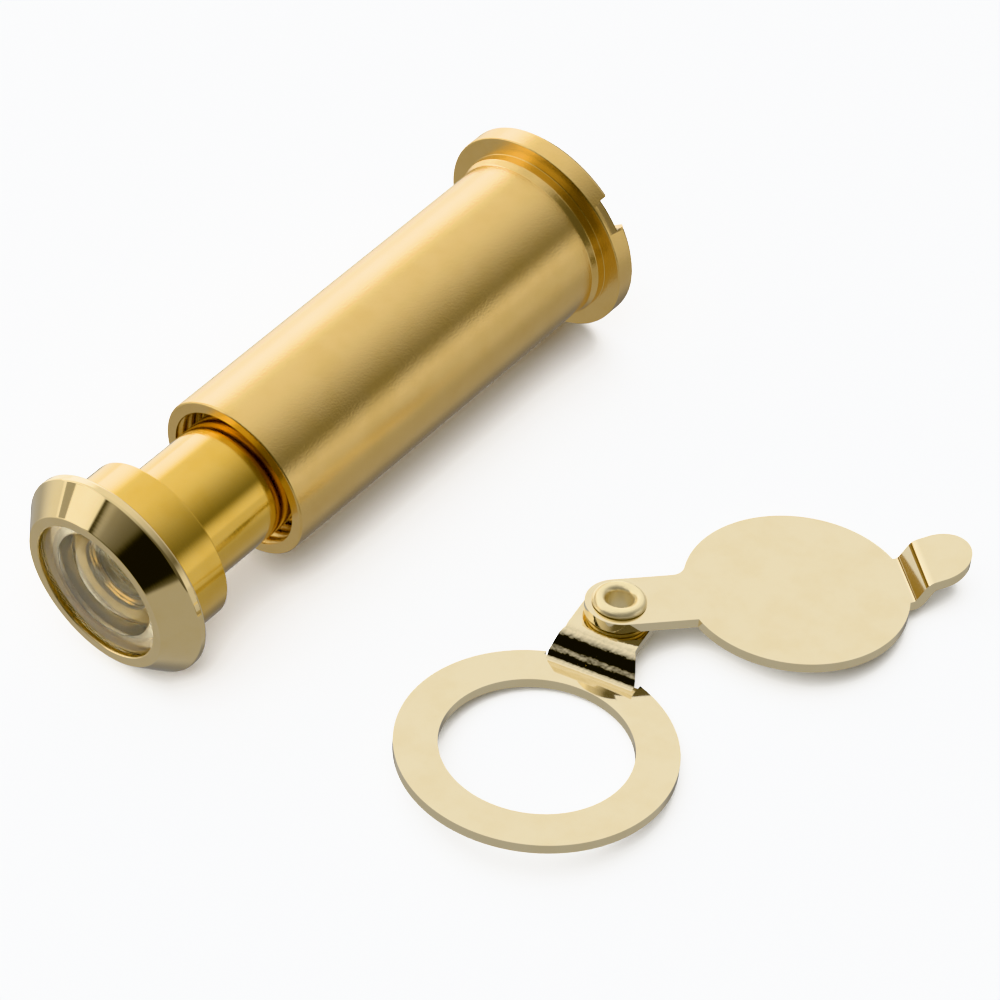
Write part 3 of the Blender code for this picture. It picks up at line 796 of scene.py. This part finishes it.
@dataclass
class Barrel:
    """Bezel, collar, neck and threaded tail; local Z = 0 is the bezel's seat."""

    axis: Vector
    bezel: float = 8.78
    bezel_height: float = 2.9
    band: float = 0.75
    rim: float = 6.8
    opening: float = 5.95
    lip: float = 0.35
    pocket: float = 6.3
    throat: float = 4.6
    throat_depth: float = 0.6
    stop: float = 3.5
    stop_thickness: float = 0.6
    bore: float = 4.1
    collar: float = 7.0
    collar_length: float = 4.1
    neck: float = 5.1
    neck_length: float = 10.0
    thread: float = 5.65
    thread_length: float = 19.0
    thread_depth: float = 0.3

    def seat_x(self) -> float:
        """Where the bezel's seat lies along the row's X."""
        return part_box("front_barrel")[0].x + self.bezel_height * MM

    def tail(self) -> float:
        """Height of the tail's end."""
        return -(self.collar_length + self.neck_length + self.thread_length)

    def section(self) -> Profile:
        """Section of the barrel, down its outside and back up its bore."""
        neck_end = -self.collar_length - self.neck_length
        top = -self.throat_depth - self.stop_thickness
        section = Profile().through(
            (self.rim, self.bezel_height, 0.16), (self.bezel, self.band, 0.35),
            (self.bezel, 0.0, 0.28), (self.collar, 0.0, 0.08),
            (self.collar, -self.collar_length, 0.12), (self.neck, -self.collar_length, 0.15),
            (self.neck, neck_end, 0.1), (self.thread, neck_end - (self.thread - self.neck), 0.05),
            (self.thread, self.tail() + 0.4, 0.05, 0.11), (self.thread - 0.4, self.tail(), 0.08),
            (self.bore, self.tail(), 0.08), (self.bore, top), (self.stop, top),
            (self.stop, -self.throat_depth, 0.05), (self.throat, 0.0, 0.05), (self.pocket, 0.0),
            (self.pocket, self.bezel_height - self.lip), (self.opening, self.bezel_height - self.lip),
            (self.opening, self.bezel_height, 0.1))
        return section

    def build(self, polished: Brass, turned: Brass, rough_painted_shade: Brass) -> None:
        """Make the barrel, its bezel polished and the rest as turned.

        Args:
            polished: finish of the bezel.
            turned: finish of the collar, the neck and the tail.
            rough_painted_shade: rougher brass, darkened as painted shade, on the faces inside the bore
                and the lens pocket.
        """
        obj = revolve("barrel_with_bezel", self.section().points(closed=True))
        neck_end = -self.collar_length - self.neck_length
        thread = Thread(self.thread, -self.thread_depth, self.tail() - 0.6, neck_end)
        thread.cut(obj, turned.material())
        seat = Seat(barrel_place(self.seat_x(), self.axis), "barrel")
        seat.settle(obj, turned.material(), "front_barrel", "barrel_brass")
        obj.data.materials.append(polished.material())
        obj.data.materials.append(rough_painted_shade.material())
        seat, near = self.seat_x(), 0.05
        under_lip = self.bezel_height - self.lip
        stop = -self.throat_depth - self.stop_thickness - 2.0 * near
        # Faces inside the bore and the lens pocket take the rougher brass darkened as painted shade;
        # the bezel takes the polished brass.
        for face in obj.data.polygons:
            height = (seat - face.center.x) / MM
            radius = math.hypot(face.center.y - self.axis.y, face.center.z - self.axis.z) / MM
            in_pocket = radius < self.pocket + near and stop < height < under_lip
            if radius < self.bore + near or in_pocket:
                face.material_index = 2
            elif height > -near / 5.0:
                face.material_index = 1


@dataclass
class LensStack:
    """Lenses and the rings between them, in the barrel's frame."""

    barrel: Barrel
    gap: float = 0.05
    fit: float = 0.1
    seal: float = 0.5
    seal_bore: float = 5.0
    dome_sag: float = 0.9
    hollow: float = 4.4
    centre: float = 1.1
    second: Colour = (1.6, 3.0, 0.9)
    third: Colour = (1.6, 2.8, 0.5)
    ring_length: float = 1.2
    spacer_wall: float = 0.55
    eye_edge: float = 1.2
    eye_sag: float = 0.7
    lock_length: float = 1.5
    lock_wall: float = 1.1
    lock_recess: float = 0.4
    notch_width: float = 1.0
    notch_depth: float = 0.7

    def build(self, glass: LensGlass, brass: Brass, rubber: Rubber) -> None:
        """Make every piece of the stack, from the front to the eye.

        Args:
            glass: finish of the lenses.
            brass: finish of the rings between them.
            rubber: finish of the seal.
        """
        self.seat = Seat(barrel_place(self.barrel.seat_x(), self.barrel.axis), "lens_stack")
        self.glass, self.brass = glass.material(), brass.material()
        self.outer = self.barrel.bore - self.fit
        self._front_lens()
        self._ring("front_lens_seal", self.seal_bore, self.barrel.pocket - self.fit,
                   self.gap + self.seal, self.gap, rubber.material(), "lens_seal", "rubber")
        top = -self.barrel.throat_depth - self.barrel.stop_thickness - self.gap
        top = self._hollow_lens("middle_lens", top, self.second, "second_lens")
        wall = self.outer - self.spacer_wall
        self._ring("ring_spacer", wall, self.outer, top, top - self.ring_length,
                   self.brass, "spacer_ring", "inner_brass")
        top = self._hollow_lens("inner_lens", top - self.ring_length - self.gap, self.third,
                                "third_lens")
        lock_top = self.barrel.tail() + self.lock_recess + self.lock_length
        lock_bore = self.outer - self.lock_wall
        bottom = lock_top + self.gap - sphere_drop(lock_bore, self.outer, self.eye_sag)
        crown = bottom + self.eye_edge + 2.0 * self.eye_sag
        self._ring("tube_spacer", wall, self.outer, top,
                   crown - sphere_drop(wall, self.outer, self.eye_sag) + self.gap,
                   self.brass, "spacer_tube", "inner_brass")
        self._eye_lens(crown, bottom)
        self._lock_ring(lock_bore, lock_top)

    def _ring(self, name: str, inner: float, outer: float, top: float, bottom: float,
              finish: bpy.types.Material, node: str, slot: str) -> None:
        """A plain ring with broken edges."""
        section = ring_section(inner, outer, bottom, top, 0.05)
        self.seat.settle(revolve(name, section), finish, node, slot)

    def _front_lens(self) -> None:
        """Negative meniscus with a shallow dome in front and a deep hollow behind."""
        outer = self.barrel.pocket - self.fit
        back = self.seal + 2.0 * self.gap
        under_lip = self.barrel.bezel_height - self.barrel.lip - self.gap
        crown = under_lip + sphere_drop(self.barrel.opening, outer, self.dome_sag)
        inside = crown - self.centre
        section = Profile().dome(outer, self.dome_sag, crown, outward=True)
        section.to(outer, back, 0.1)
        section.dome(self.hollow, inside - back, inside, outward=False)
        obj = revolve("front_lens", section.points(closed=False), closed=False)
        self.seat.settle(obj, self.glass, "objective_lens", "glass")

    def _hollow_lens(self, name: str, top: float, sizes: Colour, node: str) -> float:
        """Plano-concave lens, hollow towards the eye.

        Args:
            name: of the piece.
            top: height of its flat face.
            sizes: its thickness, and the radius and sag of its hollow.
            node: the solid that it stands for.
        Returns:
            Height of the next piece's top.
        """
        thickness, hollow, sag = sizes
        section = Profile().to(0.0, top).to(self.outer, top, 0.08)
        section.to(self.outer, top - thickness, 0.08)
        section.dome(hollow, sag, top - thickness + sag, outward=False)
        obj = revolve(name, section.points(closed=False), closed=False)
        self.seat.settle(obj, self.glass, node, "glass")
        return top - thickness - self.gap

    def _eye_lens(self, crown: float, bottom: float) -> None:
        """Lens that is domed on both faces, next to the eye."""
        section = Profile().dome(self.outer, self.eye_sag, crown, outward=True)
        section.dome(self.outer, -self.eye_sag, bottom, outward=False)
        obj = revolve("eye_lens", section.points(closed=False), closed=False)
        self.seat.settle(obj, self.glass, "eyepiece_lens", "glass")

    def _lock_ring(self, inner: float, top: float) -> None:
        """Ring with two notches for a spanner."""
        bottom = top - self.lock_length
        obj = revolve("slotted_lock_ring", ring_section(inner, self.outer, bottom, top, 0.06))
        size = (3.0 * self.outer, self.notch_width, 2.0 * self.notch_depth)
        combine(obj, box_cutter("notch", size, (0.0, 0.0, bottom), 0.0), "DIFFERENCE")
        self.seat.settle(obj, self.brass, "lens_lock_ring", "inner_brass")


# ---- the swing cover -----------------------------------------------------------------

@dataclass
class Strip:
    """A joggled strip of sheet: flat, up a slope, then on, with two equal bends."""

    start: Point
    foot: Point
    head: Point
    end: Point
    bend: float = 0.9
    sheet: float = 0.8

    def middle(self) -> list[Point]:
        """The strip's middle line in XZ."""
        step = math.radians(4.0)
        return [self.start,
                *corner_points(self.start, self.foot, self.head, self.bend, step),
                *corner_points(self.foot, self.head, self.end, self.bend, step),
                self.end]

    def solid(self, name: str, half_width: float) -> bpy.types.Object:
        """The strip as an even sheet.

        Args:
            name: of the object.
            half_width: half its width.
        Returns:
            The strip, in millimetres.
        """
        line = self.middle()
        upper, lower = [], []
        for i, point in enumerate(line):
            ahead = Vector(line[min(i + 1, len(line) - 1)])
            behind = Vector(line[max(i - 1, 0)])
            along = (ahead - behind).normalized()
            normal = Vector((-along.y, along.x)) * (self.sheet / 2.0)
            upper.append(tuple(Vector(point) + normal))
            lower.append(tuple(Vector(point) - normal))
        return prism(name, [upper + lower[::-1]], -half_width, half_width, upright=True)


@dataclass
class Cover:
    """Ring with its lug, disc with its tab, and the rivet between them."""

    sheet: float = 0.8
    ring: float = 10.68
    hole: float = 7.35
    pitch: float = 13.9
    lug: float = 2.9
    lug_foot: float = 3.6
    foot_x: float = 9.55
    relief: float = 0.3
    lug_rise: float = 2.5
    lug_run: float = 1.2
    overlap: float = 0.9
    washer: float = 2.4
    washer_thickness: float = 0.3
    gap: float = 0.05
    disc: float = 8.73
    arm: float = 2.65
    fillet: float = 1.2
    tab: float = 2.6
    tab_fold: float = 8.9
    tab_run: float = 1.0
    tab_rise: float = 1.75
    tab_reach: float = 13.5
    tab_slope: float = math.radians(17.0)
    shank: float = 1.5
    fit: float = 0.1
    bore: float = 1.05
    head: float = 2.1
    head_height: float = 0.55
    foot: float = 2.0
    foot_height: float = 0.35
    opening: float = math.radians(127.2)
    edge: float = 0.1

    def underside(self) -> float:
        """Height of the arm's underside over the ring's."""
        return self.lug_rise + self.sheet + self.washer_thickness + 2.0 * self.gap

    def pivot(self) -> Matrix:
        """Frame on the rivet at the arm's underside, local X away from the ring."""
        joint = next(j for j in frame["joints"] if j["name"] == "cover_swing")
        up = Vector(joint["axis"])
        level = Vector((up.x, up.y, 0.0))
        along = (level.normalized() * up.z - Vector((0.0, 0.0, level.length))).normalized()
        across = up.cross(along)
        turn = Matrix((along, across, up)).transposed().to_4x4()
        return Matrix.Translation(joint["pos_m"]) @ turn

    def ring_place(self) -> Matrix:
        """Frame at the middle of the ring's underside."""
        return self.pivot() @ Matrix.Translation((-self.pitch * MM, 0.0, -self.underside() * MM))

    def flap_place(self) -> Matrix:
        """Frame on the rivet, local X towards the disc."""
        return self.pivot() @ Matrix.Rotation(math.pi + self.opening, 4, "Z")

    def build(self, sheet: Brass, bent: Brass, rivet: Brass) -> None:
        """Make the cover's four pieces.

        Args:
            sheet: finish of the sheet metal.
            bent: finish of the lug's bends, where the press left ripples.
            rivet: finish of the rivet and its washer.
        """
        self._ring(sheet.material(), bent.material())
        self._flap(sheet.material())
        seat = Seat(self.ring_place() @ Matrix.Translation((self.pitch * MM, 0.0, 0.0)), "cover")
        self._rivet(seat, rivet.material())
        self._washer(seat, rivet.material())

    def _ring(self, finish: bpy.types.Material, bent: bpy.types.Material) -> None:
        """Flat ring with a lug that is bent up to carry the rivet."""
        obj = prism("ring_with_lug", [circle(self.ring), circle(self.hole)], 0.0, self.sheet)
        half = self.lug_foot + self.relief
        relief = box_cutter("relief", (self.ring, 2.0 * half, 4.0 * self.sheet),
                            (self.foot_x + self.ring / 2.0, 0.0, 0.0), 0.0)
        combine(obj, relief, "DIFFERENCE")
        middle = self.sheet / 2.0
        strip = Strip((self.foot_x - self.overlap, middle), (self.foot_x, middle),
                      (self.foot_x + self.lug_run, middle + self.lug_rise),
                      (self.pitch + 2.0 * self.lug, middle + self.lug_rise))
        lug = strip.solid("lug", 2.0 * self.lug)
        plan = [self._lug_plan(), circle(self.shank + self.fit, (self.pitch, 0.0))]
        combine(lug, prism("lug_plan", plan, -10.0, 10.0), "INTERSECT")
        combine(obj, lug, "UNION")
        soften_edges(obj, self.edge)
        near, far = self.foot_x - self.overlap, self.foot_x + 2.2 * self.lug_run
        rippled = [face.index for face in obj.data.polygons
                   if near < face.center.x < far and 0.02 < abs(face.normal.z) < 0.999]
        Seat(self.ring_place(), "cover").settle(obj, finish, "cover_ring", "cover_brass")
        obj.data.materials.append(bent)
        for index in rippled:
            obj.data.polygons[index].material_index = 1

    def _lug_plan(self) -> list[Point]:
        """The lug from above: flared foot, straight sides and a round end."""
        inner = self.foot_x - self.overlap
        flare = self.foot_x + self.lug_run
        start = [(inner, -self.lug_foot), (self.foot_x, -self.lug_foot), (flare, -self.lug)]
        end = [(x, -y) for x, y in start[::-1]]
        return start + arc((self.pitch, 0.0), self.lug, -math.pi / 2.0, math.pi / 2.0, PLAN_STEP) + end

    def _flap_plan(self) -> list[Point]:
        """Disc and arm from above: a sharp corner on one side and a fillet on the other."""
        centre = (self.pitch, 0.0)
        reach = math.asin(self.arm / self.disc)
        span = self.disc + self.fillet
        rise = self.arm + self.fillet
        lean = math.asin(rise / span)
        hollow = (self.pitch - span * math.cos(lean), rise)
        end = arc((0.0, 0.0), self.arm, math.pi / 2.0, 1.5 * math.pi, PLAN_STEP)
        rim = arc(centre, self.disc, math.pi + reach, 3.0 * math.pi - lean, PLAN_STEP)
        corner = arc(hollow, self.fillet, -lean, -math.pi / 2.0, PLAN_STEP * 4.0)
        return end + rim + corner[1:]

    def _flap(self, finish: bpy.types.Material) -> None:
        """Disc with its arm and a joggled thumb tab."""
        obj = prism("disc_with_tab", [self._flap_plan(), circle(self.shank + self.fit)],
                    0.0, self.sheet)
        middle = self.sheet / 2.0
        fold = self.pitch + self.tab_fold
        head = (fold + self.tab_run, middle + self.tab_rise)
        far = self.pitch + self.tab_reach + self.tab
        strip = Strip((fold - 1.5, middle), (fold, middle), head,
                      (far, head[1] + (far - head[0]) * math.tan(self.tab_slope)))
        tab = strip.solid("tab", 2.0 * self.tab)
        centre = (self.pitch + self.tab_reach - self.tab, 0.0)
        plan = [(fold - 1.5, -self.tab),
                *arc(centre, self.tab, -math.pi / 2.0, math.pi / 2.0, PLAN_STEP),
                (fold - 1.5, self.tab)]
        combine(tab, prism("tab_plan", [plan], -20.0, 20.0), "INTERSECT")
        combine(obj, tab, "UNION")
        soften_edges(obj, self.edge)
        Seat(self.flap_place(), "flap").settle(obj, finish, "swing_cover", "cover_brass")

    def _rivet(self, seat: Seat, finish: bpy.types.Material) -> None:
        """Tubular rivet with a rolled head and a flared foot."""
        head = self.underside() + self.sheet + self.gap
        foot = self.lug_rise - self.gap
        section = Profile()
        wall = self.head - self.bore
        for x, z in arc((0.0, 0.0), 1.0, math.pi, 0.0, math.radians(9.0)):
            section.to(self.bore + wall * (1.0 + x) / 2.0, head + z * self.head_height)
        section.to(self.shank, head).to(self.shank, foot)
        section.to(self.foot, foot, 0.05).to(self.foot, foot - 0.5 * self.foot_height, 0.1)
        section.to(self.shank, foot - self.foot_height, 0.1)
        section.to(self.bore, foot - self.foot_height, 0.1)
        obj = revolve("domed_rivet", section.points(closed=True))
        seat.settle(obj, finish, "cover_rivet", "rivet_brass")

    def _washer(self, seat: Seat, finish: bpy.types.Material) -> None:
        """Thin washer between the lug and the arm."""
        low = self.lug_rise + self.sheet + self.gap
        section = ring_section(self.shank + self.fit, self.washer, low, low + self.washer_thickness,
                               0.08)
        obj = revolve("thin_washer", section)
        seat.settle(obj, finish, "rivet_washer", "rivet_brass")


# ---- studio --------------------------------------------------------------------------

@dataclass(frozen=True)
class Glow:
    """A soft round patch of light that the brass mirrors; angles are in degrees.

    It is full within inner degrees of its middle and gone past outer.  It adds table
    below the horizon and room above it.
    """

    azimuth: float
    height: float
    inner: float
    outer: float
    table: float = 0.0
    room: float = 0.0

    def patch(self, x: Value, y: Value, z: Value) -> Value:
        """How full the patch is in a direction, from 0 to 1.

        Args:
            x: the direction's X.
            y: its Y.
            z: its Z.
        Returns:
            The patch's value.
        """
        a, e = math.radians(self.azimuth), math.radians(self.height)
        toward = x * (math.cos(a) * math.cos(e)) + y * (math.sin(a) * math.cos(e)) + z * math.sin(e)
        return toward.smooth(math.cos(math.radians(self.outer)), math.cos(math.radians(self.inner)))


GLOWS = (
    Glow(62.0, 0.0, 8.0, 36.0, table=1.9, room=4.0),        # window on the left
    Glow(-62.0, -3.0, 5.0, 31.0, table=0.22, room=0.72),    # window on the right
    Glow(122.0, 5.0, 16.0, 46.0, table=0.42, room=0.95),    # card on the far left
    Glow(55.0, 25.0, 20.0, 110.0, room=0.82),               # wide soft box
    Glow(165.0, 60.0, 8.0, 26.0, room=0.25),                # ceiling
    Glow(30.0, -62.0, 8.0, 34.0, table=-0.22),              # shade behind the parts
)
TABLE_LEVEL = 0.48
ROOM_LEVEL = 0.15
CAMERA_SIDE_DIM = 0.93
STRIPE_DIM = 0.72


@dataclass
class Studio:
    """Camera, pale floor and soft light."""

    target: Vector = field(default_factory=lambda: Vector((0.00673, 0.00664, 0.0)))
    heading: float = math.radians(40.97)
    pitch: float = math.radians(48.279)
    distance: float = 0.35293
    focal: float = 162.4

    def build(self) -> None:
        """Set the camera, the floor, the lights and the surroundings."""
        self._camera()
        self._floor()
        self._key()
        self._surroundings()
        view = bpy.context.scene.view_settings
        view.view_transform = "Khronos PBR Neutral"
        view.look = "None"
        view.exposure = 0.0

    def _camera(self) -> None:
        """The camera looks down at the parts from the front left."""
        data = bpy.data.cameras.new("camera")
        data.lens = self.focal
        data.sensor_width = 36.0
        data.clip_start = 0.01
        data.clip_end = 20.0
        camera = new_object("camera", data)
        ahead = Vector((math.cos(self.heading) * math.cos(self.pitch),
                        math.sin(self.heading) * math.cos(self.pitch), -math.sin(self.pitch)))
        camera.location = self.target - ahead * self.distance
        camera.rotation_euler = ahead.to_track_quat("-Z", "Y").to_euler()
        bpy.context.scene.camera = camera

    def _floor(self) -> None:
        """A wide pale surface under the parts; brass doesn't mirror it."""
        work = bmesh.new()
        bmesh.ops.create_grid(work, x_segments=8, y_segments=8, size=3.0)
        mesh = take_mesh("floor", work)
        floor = new_object("floor", mesh)
        floor.location.z = -0.0001
        made = bpy.data.materials.new("pale_floor")
        made.use_nodes = True
        shader = made.node_tree.nodes["Principled BSDF"]
        shader.inputs["Base Color"].default_value = (0.92, 0.93, 0.945, 1.0)
        shader.inputs["Roughness"].default_value = 0.9
        shader.inputs["Specular IOR Level"].default_value = 0.0
        mesh.materials.append(made)
        floor.visible_glossy = False

    def _key(self) -> None:
        """A broad overhead light that brightens the floor and isn't mirrored."""
        data = bpy.data.lights.new("key", "AREA")
        data.shape = "DISK"
        data.size = 2.5
        data.energy = 75.0
        light = new_object("key", data)
        light.location = (-0.25, 0.35, 1.1)
        light.rotation_euler = Vector((0.25, -0.35, -1.1)).to_track_quat("-Z", "Y").to_euler()
        light.visible_glossy = False

    def _surroundings(self) -> None:
        """What the polished brass mirrors: soft boxes, gaps between them and the table."""
        world = bpy.data.worlds.new("studio")
        bpy.context.scene.world = world
        world.use_nodes = True
        world.node_tree.nodes.clear()
        nodes = Nodes(world.node_tree)
        way = nodes.value("ShaderNodeTexCoord", output="Generated")
        x, y, z = nodes.parts(way)
        rise = z.math("ARCSINE") * (180.0 / math.pi)

        def bearing(azimuth: float) -> Value:
            """Degrees of turn from an azimuth, positive anticlockwise."""
            a = math.radians(azimuth)
            ahead = x * math.cos(a) + y * math.sin(a)
            aside = y * math.cos(a) - x * math.sin(a)
            return aside.math("ARCTAN2", ahead) * (180.0 / math.pi)

        table, room = TABLE_LEVEL, ROOM_LEVEL
        for glow in GLOWS:
            patch = glow.patch(x, y, z)
            table = table + patch * glow.table
            room = room + patch * glow.room
        camera_side = bearing(178.0).between(-34.0, 38.0, 1.5) * rise.between(1.0, 32.0, 1.5)
        stripe = bearing(115.0).between(-4.0, 4.0, 0.8) * rise.between(2.0, 24.0, 1.0)
        dim = (1.0 - camera_side * CAMERA_SIDE_DIM) * (1.0 - stripe * STRIPE_DIM)
        above = rise.smooth(-1.0, 3.0)
        strength = table * (1.0 - above) + room * above * dim
        back = nodes.add("ShaderNodeBackground", None,
                         {"Color": (1.0, 0.985, 0.96, 1.0), "Strength": strength})
        nodes.add("ShaderNodeOutputWorld", None, {"Surface": Value(nodes, back.outputs[0])})


def main() -> None:
    """Build the viewer around the frame, then the studio."""
    logging.basicConfig(level=logging.INFO, format="%(name)s: %(message)s")
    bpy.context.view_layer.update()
    screw = next(j for j in frame["joints"] if j["name"] == "barrel_screw")
    axis = Vector(screw["pos_m"])
    centre = (axis.y, axis.z)
    satin = Brass("satin_brass", (0.84, 0.60, 0.25), (0.81, 0.57, 0.22), 0.21, Lay.SATIN, 1.0, centre,
                  lacquer=0.1)
    bezel = Brass("polished_bezel_brass", (0.87, 0.70, 0.38), (0.85, 0.67, 0.34), 0.05, Lay.TURNED,
                  0.03, centre, lacquer=0.4, spread=0.02)
    turned = Brass("turned_brass", (0.87, 0.58, 0.14), (0.84, 0.54, 0.11), 0.13, Lay.TURNED,
                   0.25, centre, lacquer=0.5)
    inner = Brass("inner_brass", (0.70, 0.48, 0.16), (0.60, 0.40, 0.12), 0.32, Lay.TURNED, 0.3, centre)
    sheet = Brass("polished_sheet_brass", (0.91, 0.795, 0.545), (0.89, 0.765, 0.50), 0.06, Lay.ROLLED,
                  0.05, lacquer=0.3, spread=0.02)
    rivet = Brass("rivet_brass", (0.82, 0.64, 0.30), (0.76, 0.56, 0.22), 0.07, Lay.ROLLED,
                  0.08, lacquer=0.3, spread=0.02)
    bent = Brass("bent_sheet_brass", (0.91, 0.795, 0.545), (0.89, 0.765, 0.50), 0.05, Lay.PRESSED,
                 1.0, lacquer=0.3, spread=0.02, ripple=2.5, depth=0.145)
    # Rougher brass, darkened as painted shade, for the inside of the bore and the lens pocket.
    rough_painted_shade = Brass("rough_painted_shade_inner_brass", (0.27, 0.215, 0.105), (0.22, 0.17, 0.08), 0.42, Lay.TURNED,
                 0.4, centre)
    glass = LensGlass("lens_glass", (0.84, 0.76, 0.54), (0.72, 0.62, 0.38), index=1.42, clarity=0.96)
    rubber = Rubber("seal_rubber", (0.36, 0.26, 0.10), (0.42, 0.31, 0.13))
    Sleeve(axis).build(satin)
    barrel = Barrel(axis)
    barrel.build(bezel, turned, rough_painted_shade)
    LensStack(barrel).build(glass, inner, rubber)
    Cover().build(sheet, bent, rivet)
    Studio().build()


if __name__ == "__main__":
    main()
